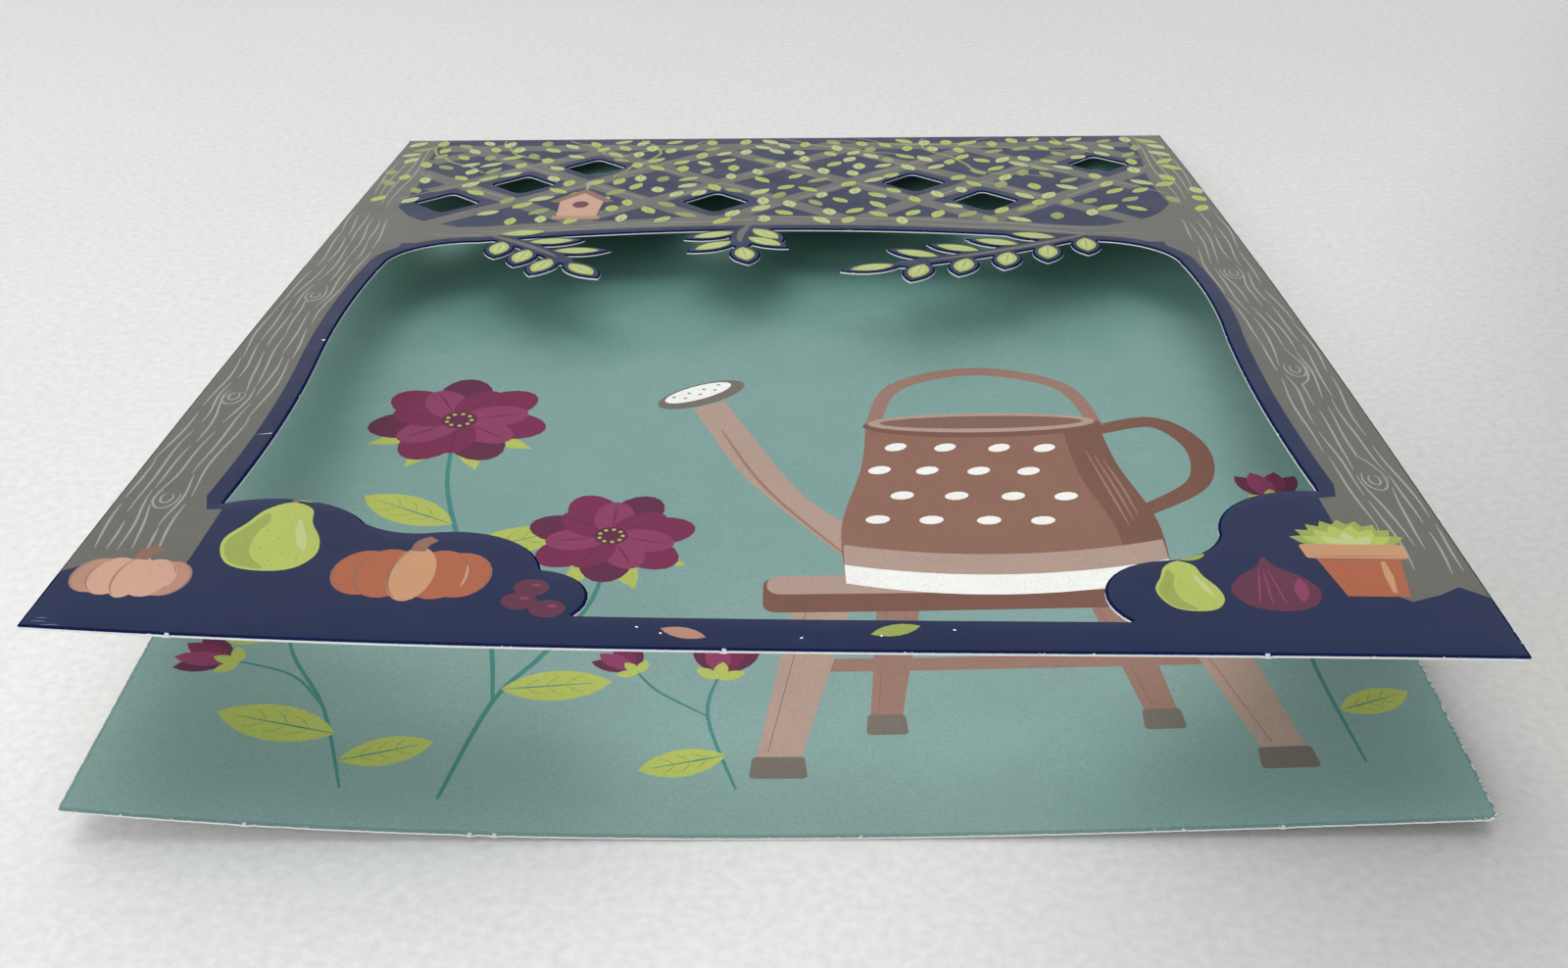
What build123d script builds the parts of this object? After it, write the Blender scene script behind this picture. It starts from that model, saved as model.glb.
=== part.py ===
from build123d import *
from math import cos, degrees, radians, sin
import os

# A greeting card: one sheet of card, folded once along its short top edge.
# It lies on its back panel with the front cover sprung open. The cover has a large
# die-cut window framed by two timber posts and a lattice arbour with leaf sprays.
# Frame: +Z up from the table, +Y towards the fold, origin under the middle of the card.
# Flat places on a panel are (x, v): x across from the middle, v along the sheet from the fold.

# Sheet, in millimetres
card_width = 127.0
card_height = 177.8
sheet_thickness = 0.35
fold_inner_radius = 0.05
corner_radius = 0.8

# How the cover stands open, in radians and millimetres
cover_slope = 0.108
cover_bow = 0.025
cover_left_lift = 2.79
cover_right_lift = -1.15
cover_s_bend = -0.68

# How the back panel curls up from the table, in millimetres
back_flat_strip = 24.0
back_left_lift = 3.60
back_right_lift = 1.76
back_s_bend = -0.92
curl_power = 1.6

# Main window of the cover, in millimetres
post_width = 10.3
window_shoulder = 63.0
window_arch_rise = 6.0
window_corner_radius = 11.0
frame_strip = 5.9
timber_wave = 0.7
left_waist = 112.0
right_waist = 102.0

# Mounds in the window's lower corners: arcs as (via, end), each (in from the side, up from the bottom)
left_mound_foot = 35.5
left_mound = [
    ((36.2, 5.0), (31.8, 8.4)),
    ((28.8, 13.8), (21.4, 15.6)),
    ((17.4, 15.4), (14.2, 17.0)),
    ((8.2, 21.6), (0.0, 20.4)),
]
right_mound_foot = 22.5
right_mound = [
    ((23.4, 7.6), (18.0, 11.4)),
    ((14.2, 12.8), (11.6, 16.6)),
    ((7.6, 24.4), (0.0, 26.4)),
]

# Diamond gaps of the lattice, in millimetres; cells count pitches from the middle and up from the lowest row
lattice_side = 8.7
lattice_pitch_v = 22.0
lattice_beam = 9.2
gap_width = 9.6
gap_height = 11.6
gap_corner_radius = 0.9
gap_cells = [(-2.5, 0.0), (-2.0, 0.5), (-1.5, 1.0), (-0.5, 0.0), (1.0, 0.5), (1.5, 0.0), (2.5, 1.0)]

# Leaf sprays that hang into the window, in millimetres and degrees; a stem starts at a fraction of
# the window's half width from the middle, and as far above or below the window's shoulder
cut_leaf_length = 9.2
cut_leaf_width = 4.2
cut_stem_width = 3.0
leaf_spread = 52.0
sprays = [
    {"across": 0.79, "below": -2.5, "heading": 214.0, "length": 29.0, "bend": -14.0, "leaves": 10},
    {"across": -0.77, "below": -3.0, "heading": 324.0, "length": 17.0, "bend": -20.0, "leaves": 7},
    {"across": -0.094, "below": -7.5, "heading": 252.0, "length": 9.0, "bend": 26.0, "leaves": 5},
]

# Shape of the fold and of the lofted panels
window_half_width = card_width / 2 - post_width
window_top = window_shoulder - window_arch_rise
window_bottom = card_height - frame_strip
lattice_pitch_x = (card_width - gap_width - 2 * lattice_side) / (gap_cells[-1][0] - gap_cells[0][0])
lattice_low = window_top - lattice_beam - gap_height / 2
cut_reach = 8.0
fold_outer_radius = fold_inner_radius + sheet_thickness
fold_y = card_height / 2 - fold_outer_radius
slope_at_fold = cover_slope + cover_bow
panel_length = card_height - fold_outer_radius
cover_stations = 7
back_stations = 6
points_across = 7


def curl(u, left_lift, right_lift, s_bend):
    """Height of a panel's front edge above its middle, at u from -1 (left) to 1 (right)."""
    crown = (left_lift + right_lift) / 2
    tilt = (right_lift - left_lift) / 2 - s_bend
    return crown * u**2 + tilt * u + s_bend * u**3


def cover_line(v):
    """Middle line of the cover's upper face: y, z and slope angle at a length v from the fold."""
    bow_radius = panel_length / (2 * cover_bow)
    angle = slope_at_fold - v / bow_radius
    y = fold_y + fold_outer_radius * sin(slope_at_fold) - bow_radius * (sin(slope_at_fold) - sin(angle))
    z = fold_outer_radius * (1 + cos(slope_at_fold)) + bow_radius * (cos(angle) - cos(slope_at_fold))
    return y, z, angle


def sheet_section(y, z, angle, edge_curl):
    """Cross-section of a panel whose upper face's middle is at y, z: thin, and curled across."""
    fractions = [2 * i / (points_across - 1) - 1 for i in range(points_across)]
    normal = Vector(0, sin(angle), cos(angle))
    upper_points = [Vector(u * card_width / 2, y, z) + normal * edge_curl(u) for u in fractions]
    lower_points = [point - normal * sheet_thickness for point in upper_points]
    upper = Spline(*upper_points)
    lower = Spline(*lower_points)
    left = Line(lower_points[0], upper_points[0])
    right = Line(lower_points[-1], upper_points[-1])
    return Face(Wire([upper, right, lower, left]))


def cover_panel():
    """The front cover from the crease to its free edge, bowed along and curled across."""

    def section(along):
        y, z, angle = cover_line(along * panel_length)
        rise = along**curl_power
        return sheet_section(
            y, z, angle, lambda u: rise * curl(u, cover_left_lift, cover_right_lift, cover_s_bend)
        )

    return loft([section(i / (cover_stations - 1)) for i in range(cover_stations)])


def back_panel():
    """The back panel past its flat strip, curling up from the table towards its front corners."""

    def section(along):
        y = card_height / 2 - back_flat_strip - along * (card_height - back_flat_strip)
        rise = along**curl_power
        return sheet_section(
            y, sheet_thickness, 0.0, lambda u: rise * curl(u, back_left_lift, back_right_lift, back_s_bend)
        )

    return loft([section(i / (back_stations - 1)) for i in range(back_stations)])


def fold_strip():
    """The crease, bent round its inner radius, and the strip of the back panel that lies flat."""
    strip_y = card_height / 2 - back_flat_strip
    turn = 180.0 - degrees(slope_at_fold)
    with BuildSketch(Plane.YZ) as profile:
        with BuildLine():
            outer = CenterArc((fold_y, fold_outer_radius), fold_outer_radius, -90, turn)
            inner = CenterArc((fold_y, fold_outer_radius), fold_inner_radius, -90, turn)
            Line((strip_y, 0), outer @ 0)
            Line(outer @ 1, inner @ 1)
            Line(inner @ 0, (strip_y, sheet_thickness))
            Line((strip_y, sheet_thickness), (strip_y, 0))
        make_face()
    return extrude(profile.sketch, amount=card_width / 2, both=True)


def window_side(side, mound, waist):
    """Arcs (via, end) up one side of the window, from its mound to the arch; side is -1 or 1."""
    post = side * window_half_width
    arcs = []
    for (via_in, via_up), (end_in, end_up) in mound:
        via = (post - side * via_in, window_bottom - via_up)
        end = (post - side * end_in, window_bottom - end_up)
        arcs.append((via, end))
    mound_top = arcs[-1][1][1]
    side_top = window_shoulder + window_corner_radius
    bulge = window_corner_radius * (1 - cos(radians(45)))
    arcs.append(((post - side * timber_wave, (mound_top + waist) / 2), (post, waist)))
    arcs.append(((post + side * timber_wave, (waist + side_top) / 2), (post, side_top)))
    arch_end = (post - side * window_corner_radius, window_shoulder)
    arcs.append(((post - side * bulge, window_shoulder + bulge), arch_end))
    return arcs


def window_face():
    """Sketch of the main window, less the leaf sprays that hang into it."""
    left_foot = (left_mound_foot - window_half_width, window_bottom)
    right_foot = (window_half_width - right_mound_foot, window_bottom)
    edges = [Line(down_sheet(left_foot), down_sheet(right_foot))]
    arch_ends = []
    sides = [(-1, left_foot, left_mound, left_waist), (1, right_foot, right_mound, right_waist)]
    for side, foot, mound, waist in sides:
        here = foot
        for via, end in window_side(side, mound, waist):
            edges.append(ThreePointArc(down_sheet(here), down_sheet(via), down_sheet(end)))
            here = end
        arch_ends.append(down_sheet(here))
    edges.append(ThreePointArc(arch_ends[0], down_sheet((0, window_top)), arch_ends[1]))
    window = make_face(edges)
    for spray in sprays:
        window = window - spray_shape(spray)
    return window.faces().sort_by(SortBy.AREA)[-1]


def down_sheet(place):
    """Sketch point of a place (x, v) on a panel."""
    x, v = place
    return (x, -v)


def stem_at(spray, fraction):
    """Sketch point and heading at a fraction of a stem, an arc that turns by its bend."""
    x, y = down_sheet((spray["across"] * window_half_width, window_shoulder + spray["below"]))
    heading = radians(spray["heading"])
    turn = radians(spray["bend"])
    bend_radius = spray["length"] / turn
    angle = heading + turn * fraction
    x += bend_radius * (sin(angle) - sin(heading))
    y -= bend_radius * (cos(angle) - cos(heading))
    return (x, y), spray["heading"] + spray["bend"] * fraction


def leaf_shape():
    """A pointed leaf along +X from its base at the origin."""
    upper = ThreePointArc((0, 0), (cut_leaf_length / 2, cut_leaf_width / 2), (cut_leaf_length, 0))
    lower = ThreePointArc((cut_leaf_length, 0), (cut_leaf_length / 2, -cut_leaf_width / 2), (0, 0))
    return make_face([upper, lower])


def spray_shape(spray):
    """A stem with leaves to its two sides in turn, and one leaf at its tip."""
    ends = [stem_at(spray, fraction)[0] for fraction in (0.0, 0.5, 1.0)]
    shape = SlotArc(ThreePointArc(*ends), cut_stem_width)
    count = spray["leaves"]
    for i in range(count):
        side = 0 if i == count - 1 else 1 - 2 * (i % 2)
        (x, y), heading = stem_at(spray, i / (count - 1))
        shape = shape + Location((x, y, 0), heading + side * leaf_spread) * leaf_shape()
    return shape


def lattice_gaps():
    """Diamond gaps between the slats of the arbour."""
    half_width = gap_width / 2
    half_height = gap_height / 2
    corners = [(half_width, 0), (0, half_height), (-half_width, 0), (0, -half_height)]
    diamond = Polygon(*corners)
    diamond = fillet(diamond.vertices(), gap_corner_radius)
    gaps = []
    for column, row in gap_cells:
        x, y = down_sheet((column * lattice_pitch_x, lattice_low - row * lattice_pitch_v))
        gaps.append(Location((x, y, 0)) * diamond)
    return gaps


def cover_cutters():
    """Prisms along the cover's normal for its window and gaps, stopping between the two panels."""
    crease = (0, fold_y, fold_outer_radius)
    cover_plane = Plane(origin=crease, x_dir=(1, 0, 0), z_dir=(0, sin(cover_slope), cos(cover_slope)))
    between = Plane(origin=crease, x_dir=(1, 0, 0), z_dir=(0, sin(cover_slope / 2), cos(cover_slope / 2)))
    room = between * Box(
        2 * card_width, 3 * card_height, card_height, align=(Align.CENTER, Align.CENTER, Align.MIN)
    )
    openings = [window_face()] + lattice_gaps()
    return [extrude(cover_plane * opening, amount=cut_reach, both=True) & room for opening in openings]


def folded_card():
    card = fold_strip() + cover_panel() + back_panel()
    for cutter in cover_cutters():
        card = card - cutter
    front_corners = card.edges().filter_by(corner_edge)
    return fillet(front_corners, corner_radius)


def corner_edge(edge):
    """Whether an edge is one of the four short edges at the front corners of the panels."""
    middle = edge.center()
    at_side = abs(abs(middle.X) - card_width / 2) < sheet_thickness
    at_front = middle.Y < -card_height / 2 + 2 * frame_strip
    return at_side and at_front and edge.length < 2 * sheet_thickness


if __name__ == "__main__":
    os.makedirs("parts", exist_ok=True)
    card = folded_card()
    print("folded_card", round(card.volume), "mm3 in", len(card.faces()), "faces")
    export_step(card.solid(), "parts/folded_card.step")
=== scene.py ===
import math
import random

import bpy
import numpy as np
from mathutils import Matrix, Vector
from mathutils.geometry import delaunay_2d_cdt
from mathutils.kdtree import KDTree


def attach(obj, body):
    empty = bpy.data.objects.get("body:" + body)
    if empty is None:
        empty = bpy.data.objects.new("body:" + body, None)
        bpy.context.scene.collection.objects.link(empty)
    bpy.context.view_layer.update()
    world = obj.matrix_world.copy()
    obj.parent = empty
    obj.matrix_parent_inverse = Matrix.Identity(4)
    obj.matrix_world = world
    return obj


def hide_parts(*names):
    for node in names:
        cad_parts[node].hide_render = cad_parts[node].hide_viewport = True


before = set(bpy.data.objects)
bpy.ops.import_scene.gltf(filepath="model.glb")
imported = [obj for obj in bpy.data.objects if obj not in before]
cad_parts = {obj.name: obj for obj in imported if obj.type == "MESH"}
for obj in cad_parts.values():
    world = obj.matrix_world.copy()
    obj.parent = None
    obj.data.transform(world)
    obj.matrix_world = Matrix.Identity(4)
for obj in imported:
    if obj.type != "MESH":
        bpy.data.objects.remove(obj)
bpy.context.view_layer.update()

# The card's values in millimetres, as in the CAD part: a flat place is (x, v), with v down from the fold
mm = 0.001
card_width = 127.0
card_height = 177.8
sheet_thickness = 0.35
fold_inner_radius = 0.05
fold_outer_radius = fold_inner_radius + sheet_thickness
corner_radii = (0.35, 1.0, 0.4, 0.3)
cover_slope = 0.108
cover_bow = 0.025
cover_left_lift = 2.79
cover_right_lift = -1.15
cover_s_bend = -0.68
back_flat_strip = 24.0
back_left_lift = 3.60
back_right_lift = 1.76
back_s_bend = -0.92
curl_power = 1.6
slope_at_fold = cover_slope + cover_bow
fold_y = card_height / 2 - fold_outer_radius
panel_length = card_height - fold_outer_radius
half_card = card_width / 2

# Window, lattice gaps and cut sprays
post_width = 10.3
window_shoulder = 63.0
window_arch_rise = 6.0
window_corner_radius = 11.0
frame_strip = 5.9
timber_wave = 0.7
left_waist = 112.0
right_waist = 102.0
left_mound_foot = 35.5
left_mound = [
    ((36.2, 5.0), (31.8, 8.4)),
    ((28.8, 13.8), (21.4, 15.6)),
    ((17.4, 15.4), (14.2, 17.0)),
    ((8.2, 21.6), (0.0, 20.4)),
]
right_mound_foot = 22.5
right_mound = [
    ((23.4, 7.6), (18.0, 11.4)),
    ((14.2, 12.8), (11.6, 16.6)),
    ((7.6, 24.4), (0.0, 26.4)),
]
window_half_width = half_card - post_width
window_top = window_shoulder - window_arch_rise
window_bottom = card_height - frame_strip
lattice_pitch_x = 20.0
lattice_pitch_v = 22.0
lattice_beam = 9.2
gap_width = 9.6
gap_height = 11.6
gap_corner_radius = 0.9
gap_cells = [(-2.5, 0.0), (-2.0, 0.5), (-1.5, 1.0), (-0.5, 0.0), (1.0, 0.5), (1.5, 0.0), (2.5, 1.0)]
lattice_low = window_top - lattice_beam - gap_height / 2
cut_leaf_length = 9.2
cut_leaf_width = 4.2
cut_stem_width = 3.0
leaf_spread = 52.0
sprays = [
    {"across": 0.79, "below": -2.5, "heading": 214.0, "length": 29.0, "bend": -14.0, "leaves": 10},
    {"across": -0.77, "below": -3.0, "heading": 324.0, "length": 17.0, "bend": -20.0, "leaves": 7},
    {"across": -0.094, "below": -7.5, "heading": 252.0, "length": 9.0, "bend": 26.0, "leaves": 5},
]

# Inks, as sRGB shares of 255
inks = {
    "navy": (22, 35, 72),
    "timber": (100, 99, 92),
    "grain": (152, 150, 140),
    "lime": (171, 183, 88),
    "lime_pale": (184, 193, 128),
    "olive": (146, 160, 76),
    "leaf_dark": (140, 152, 86),
    "salmon": (197, 154, 131),
    "salmon_dark": (176, 130, 110),
    "orange": (167, 93, 62),
    "orange_pale": (192, 142, 104),
    "plum": (114, 33, 73),
    "plum_dark": (92, 32, 64),
    "plum_mid": (134, 52, 92),
    "fig": (94, 43, 66),
    "brown": (135, 97, 81),
    "brown_dark": (116, 79, 66),
    "tan": (170, 145, 131),
    "tan_dark": (147, 113, 100),
    "white": (234, 234, 228),
    "grey": (111, 104, 94),
    "teal": (127, 157, 151),
    "stem": (63, 127, 120),
    "fine_line": (124, 92, 80),
    "scuff": (104, 110, 138),
    "bare": (236, 236, 232),
}
ink_number = {name: i for i, name in enumerate(inks)}


def linear(channel):
    share = channel / 255
    return share / 12.92 if share <= 0.04045 else ((share + 0.055) / 1.055) ** 2.4


def colour_of(*channels):
    return tuple(linear(channel) for channel in channels) + (1.0,)


# Flat outlines

def sides(outline):
    """The sides of a closed outline, as pairs of points."""
    return zip(outline, outline[1:] + outline[:1])


def steps_along(a, b, step):
    """Even points from a towards b, without b, no further apart than a step."""
    count = max(1, math.ceil(math.dist(a, b) / step))
    return [(a[0] + (b[0] - a[0]) * k / count, a[1] + (b[1] - a[1]) * k / count) for k in range(count)]


def placed(points, cx, cv, size=1.0):
    """Points drawn about their own origin, moved to (cx, cv) at that size."""
    return [(cx + x * size, cv + v * size) for x, v in points]


def rectangle(left, top, right, bottom):
    return [(left, top), (right, top), (right, bottom), (left, bottom)]


def arc(start, via, end, step=1.2):
    """Points from start towards end, without the end, on the circle through via."""
    (ax, ay), (bx, by), (cx, cy) = start, via, end
    area = 2 * (ax * (by - cy) + bx * (cy - ay) + cx * (ay - by))
    if abs(area) < 1e-9:
        return [start]
    a2, b2, c2 = ax * ax + ay * ay, bx * bx + by * by, cx * cx + cy * cy
    ox = (a2 * (by - cy) + b2 * (cy - ay) + c2 * (ay - by)) / area
    oy = (a2 * (cx - bx) + b2 * (ax - cx) + c2 * (bx - ax)) / area
    radius = math.hypot(ax - ox, ay - oy)
    first = math.atan2(ay - oy, ax - ox)
    to_via = (math.atan2(by - oy, bx - ox) - first) % math.tau
    to_end = (math.atan2(cy - oy, cx - ox) - first) % math.tau
    if to_via > to_end:
        to_end -= math.tau
    count = max(2, math.ceil(abs(to_end) * radius / step))
    angles = [first + to_end * k / count for k in range(count)]
    return [(ox + radius * math.cos(t), oy + radius * math.sin(t)) for t in angles]


def rounded_corner(a, b, c, radius, count=4):
    """Points of the arc of that radius that rounds the corner b between a and c."""
    to_a, to_c = Vector(a) - Vector(b), Vector(c) - Vector(b)
    to_a.normalize()
    to_c.normalize()
    half = to_a.angle(to_c) / 2
    cut = radius / math.tan(half)
    start = Vector(b) + to_a * cut
    end = Vector(b) + to_c * cut
    via = Vector(b) + (to_a + to_c).normalized() * (radius / math.sin(half) - radius)
    return arc(tuple(start), tuple(via), tuple(end), radius * (math.pi - 2 * half) / count) + [tuple(end)]


def rounded(corners, radius, count=4):
    """A closed outline with every corner rounded."""
    points = []
    for i, corner in enumerate(corners):
        points += rounded_corner(corners[i - 1], corner, corners[(i + 1) % len(corners)], radius, count)
    return points


def smooth(points, closed=True, steps=5):
    """Catmull-Rom curve through points."""
    count = len(points)
    found = []
    for i in range(count if closed else count - 1):
        near = [i + k for k in (-1, 0, 1, 2)]
        near = [k % count for k in near] if closed else [min(max(k, 0), count - 1) for k in near]
        a, b, c, d = (Vector(points[k]) for k in near)
        for k in range(steps):
            t = k / steps
            place = 2 * b + (c - a) * t + (2 * a - 5 * b + 4 * c - d) * t**2 + (3 * b - a - 3 * c + d) * t**3
            found.append(tuple(place / 2))
    return found if closed else found + [points[-1]]


def stroke(points, width, taper=0.3):
    """Outline of a line of that width, narrowing to a share taper of it at both ends."""
    left, right = [], []
    last = len(points) - 1
    for i, (x, v) in enumerate(points):
        x0, v0 = points[max(0, i - 1)]
        x1, v1 = points[min(last, i + 1)]
        run = math.hypot(x1 - x0, v1 - v0) or 1e-9
        half = width / 2 * (1 - (1 - taper) * abs(2 * i / last - 1) ** 2)
        across = ((v0 - v1) / run * half, (x1 - x0) / run * half)
        left.append((x + across[0], v + across[1]))
        right.append((x - across[0], v - across[1]))
    return left + right[::-1]


def ellipse(cx, cv, rx, rv, turn=0.0, count=20):
    a = math.radians(turn)
    points = []
    for k in range(count):
        t = math.tau * k / count
        along, out = rx * math.cos(t), rv * math.sin(t)
        x = cx + along * math.cos(a) - out * math.sin(a)
        v = cv + along * math.sin(a) + out * math.cos(a)
        points.append((x, v))
    return points


def ahead(base, heading, along, out=0.0):
    """A place that far along a heading from base, and out to its left; headings turn up from +X."""
    a = math.radians(heading)
    x = base[0] + along * math.cos(a) - out * math.sin(a)
    v = base[1] - along * math.sin(a) - out * math.cos(a)
    return x, v


def leaf(base, heading, length, width, count=6):
    """Outline of a leaf pointed at both ends."""
    bow = (length**2 + width**2) / 4 / width
    half = math.asin(min(1, length / 2 / bow))
    points = []
    for side in (1, -1):
        for k in range(count):
            t = side * (2 * half * k / count - half)
            out = side * (bow * math.cos(t) - bow + width / 2)
            points.append(ahead(base, heading, length / 2 + bow * math.sin(t), out))
    return points


def outward(outline, i):
    """The way out of an outline at its point i, where it runs clockwise as drawn with v down."""
    (x0, v0), (x1, v1) = outline[i - 1], outline[(i + 1) % len(outline)]
    run = math.hypot(x1 - x0, v1 - v0) or 1e-9
    return (v1 - v0) / run, (x0 - x1) / run


def grown(outline, by):
    """An outline pushed outwards, or inwards where by is below nought."""
    points = []
    for i, (x, v) in enumerate(outline):
        out_x, out_v = outward(outline, i)
        points.append((x + out_x * by, v + out_v * by))
    return points


def winding(xs, vs, outline):
    """How many times an outline goes round each place."""
    turns = np.zeros(len(xs), int)
    for (x1, v1), (x2, v2) in sides(outline):
        if v1 != v2:
            passes = (v1 > vs) != (v2 > vs)
            right = xs < (x2 - x1) * (vs - v1) / (v2 - v1) + x1
            turns += np.where(passes & right, 1 if v2 > v1 else -1, 0)
    return turns


def distances(xs, vs, outlines):
    """Distance from each place to the nearest line of some outlines."""
    best = np.full(len(xs), np.inf)
    for outline in outlines:
        for (x1, v1), (x2, v2) in sides(outline):
            dx, dv = x2 - x1, v2 - v1
            t = np.clip(((xs - x1) * dx + (vs - v1) * dv) / (dx * dx + dv * dv + 1e-12), 0, 1)
            best = np.minimum(best, np.hypot(xs - x1 - t * dx, vs - v1 - t * dv))
    return best


def clear_of(places, outlines, room):
    """Whether all places are outside some outlines, with room to spare."""
    xs, vs = (np.array(side) for side in zip(*places))
    if any(winding(xs, vs, outline).any() for outline in outlines):
        return False
    return distances(xs, vs, outlines).min() > room


# Die-cut shapes

def window_side(side, mound, waist):
    """Arcs (via, end) up one side of the window: its mound, a wavy post, and the upper corner."""
    post = side * window_half_width
    arcs = []
    for (via_in, via_up), (end_in, end_up) in mound:
        via = (post - side * via_in, window_bottom - via_up)
        arcs.append((via, (post - side * end_in, window_bottom - end_up)))
    mound_top = arcs[-1][1][1]
    side_top = window_shoulder + window_corner_radius
    bulge = window_corner_radius * (1 - math.cos(math.radians(45)))
    corner_end = (post - side * window_corner_radius, window_shoulder)
    arcs.append(((post - side * timber_wave, (mound_top + waist) / 2), (post, waist)))
    arcs.append(((post + side * timber_wave, (waist + side_top) / 2), (post, side_top)))
    arcs.append(((post - side * bulge, window_shoulder + bulge), corner_end))
    return arcs


def side_points(side, foot, mound, waist):
    points = []
    here = foot
    for via, end in window_side(side, mound, waist):
        points += arc(here, via, end)
        here = end
    return points + [here]


def window_outline():
    left = side_points(-1, (left_mound_foot - window_half_width, window_bottom), left_mound, left_waist)
    right = side_points(1, (window_half_width - right_mound_foot, window_bottom), right_mound, right_waist)
    return left + arc(left[-1], (0, window_top), right[-1])[1:] + right[::-1]


def arch_at(x):
    """The window's upper line at x."""
    half = window_half_width - window_corner_radius
    radius = (half**2 + window_arch_rise**2) / (2 * window_arch_rise)
    return window_top + radius - math.sqrt(radius**2 - min(abs(x), half) ** 2)


def stem_at(spray, fraction):
    """Place and heading at a fraction of a spray's stem, an arc that turns by its bend."""
    heading = math.radians(spray["heading"])
    bend_radius = spray["length"] / math.radians(spray["bend"])
    angle = heading + math.radians(spray["bend"]) * fraction
    x = spray["across"] * window_half_width + bend_radius * (math.sin(angle) - math.sin(heading))
    v = window_shoulder + spray["below"] + bend_radius * (math.cos(angle) - math.cos(heading))
    return (x, v), spray["heading"] + spray["bend"] * fraction


def stem_line(spray):
    return [stem_at(spray, k / 8)[0] for k in range(9)]


def spray_leaves(spray):
    """Base and heading of each leaf, to the stem's two sides in turn, with one at its tip."""
    count = spray["leaves"]
    found = []
    for i in range(count):
        side = 0 if i == count - 1 else 1 - 2 * (i % 2)
        base, heading = stem_at(spray, i / (count - 1))
        found.append((base, heading + side * leaf_spread))
    return found


def rounded_stem(spray):
    line = stem_line(spray)
    half = cut_stem_width / 2
    edges = stroke(line, cut_stem_width, 1.0)
    middle = len(edges) // 2
    tip = ahead(line[-1], spray["heading"] + spray["bend"], half)
    butt = ahead(line[0], spray["heading"] + 180, half)
    end = arc(edges[middle - 1], tip, edges[middle], 0.4)[1:]
    start = arc(edges[-1], butt, edges[0], 0.4)[1:]
    return edges[:middle] + end + edges[middle:] + start


def spray_outlines():
    found = []
    for spray in sprays:
        found.append(rounded_stem(spray))
        for base, heading in spray_leaves(spray):
            found.append(leaf(base, heading, cut_leaf_length, cut_leaf_width, 8))
    return found


def diamond(column, row, grow=0.0):
    """A gap between the lattice's slats."""
    cx, cv = column * lattice_pitch_x, lattice_low - row * lattice_pitch_v
    w, h = gap_width / 2 + grow, gap_height / 2 + grow
    return rounded([(cx + w, cv), (cx, cv + h), (cx - w, cv), (cx, cv - h)], gap_corner_radius)


# The print, as shapes of (ink, outline) painted in turn: on the cover, an arbour with fruit at its feet
window_border = 2.1
gap_border = 0.8
post_face = 56.9
post_foot = 163.0
beam_depth = 5.0
slat_width = 3.3
slat_reach = half_card - 5.5
rail_low, rail_high = 8.6, 4.4
grain_width = 0.26
post_lines = 6
post_knots = {
    -1: [(-59.0, 88.0), (-59.6, 124.0), (-58.8, 151.0)],
    1: [(59.2, 78.0), (58.8, 113.0), (59.6, 143.0)],
}
print_overrun = 1.02
vine_reach = 61.5
vine_low = 49
vine_tries = 5200
vine_leaf_gap = 3.35
vine_leaf_reach = 62.7
arch_clear = 4.5
brace_inner, brace_low = 46, 47
spray_inset = 1.5


def disc(x, v, radius, count):
    return ellipse(x, v, radius, radius, 0, count)


def rib(base, heading, length, shares, width):
    """A line along a leaf or petal, through some shares of its length."""
    return stroke([ahead(base, heading, length * share) for share in shares], width)


def grain(points):
    return "grain", stroke(points, grain_width)


def posts_and_beam():
    for side in (-1, 1):
        outer = side * half_card * print_overrun
        steps = [(0.0, 167.4), (2.5, 165.3), (4.6, 166.8), (7.4, 168.1), (10.4, 165.4)]
        foot = [(side * (half_card - inward), v) for inward, v in steps]
        inner = [(side * 53.0, post_foot), (side * 52.6, 60.0)]
        brace = smooth([(side * 46.0, arch_at(46) - 7.2), (side * 53.0, 51.4), (side * 56.2, 46.0)], False)
        upper = [(side * (post_face + 0.7 * math.sin(v / 7)), v) for v in range(44, -2, -3)]
        yield "timber", [(outer, 167.4)] + foot + inner + brace + upper + [(outer, -1.4)]
    xs = [3.0 * k for k in range(-18, 19)]
    low = [(x, arch_at(x) + 1) for x in xs]
    high = [(x, arch_at(x) - window_border - beam_depth + 0.45 * math.sin(x / 5)) for x in xs]
    yield "timber", low + high[::-1]


def slat(ink, column, sign, v_from, v_to, width, shift=0.0):
    """A line of the lattice that leans to either side, where enough of it is clear of the posts."""
    slope = sign * lattice_pitch_v / lattice_pitch_x
    x0 = column * lattice_pitch_x
    points = []
    for k in range(9):
        v = v_from + (v_to - v_from) * k / 8
        x = x0 + (v - lattice_low) / slope + shift + 0.2 * math.sin(0.4 * v + x0)
        if abs(x) < slat_reach:
            points.append((x, v))
    if len(points) > 2:
        yield ink, stroke(points, width, 0.9)


def lattice():
    for sign in (1, -1):
        for column in range(-5, 6):
            yield from slat("timber", column, sign, rail_high, 53.5, slat_width)
    xs = [3.0 * k for k in range(-19, 20)]
    high = [(x, rail_high + 0.3 * math.sin(x / 4)) for x in xs]
    low = [(x, rail_low + 0.3 * math.sin(x / 3)) for x in xs]
    yield "timber", high + low[::-1]
    for sign in (1, -1):
        for column in range(-4, 5):
            for v, shift in ((17.0, -0.7), (31.0, 0.6)):
                yield from slat("grain", column, sign, v, v + 9, 0.22, shift)


def borders():
    """The navy margin kept round each opening."""
    yield "navy", grown(window_outline(), window_border)
    for column, row in gap_cells:
        yield "navy", diamond(column, row, gap_border)


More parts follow.
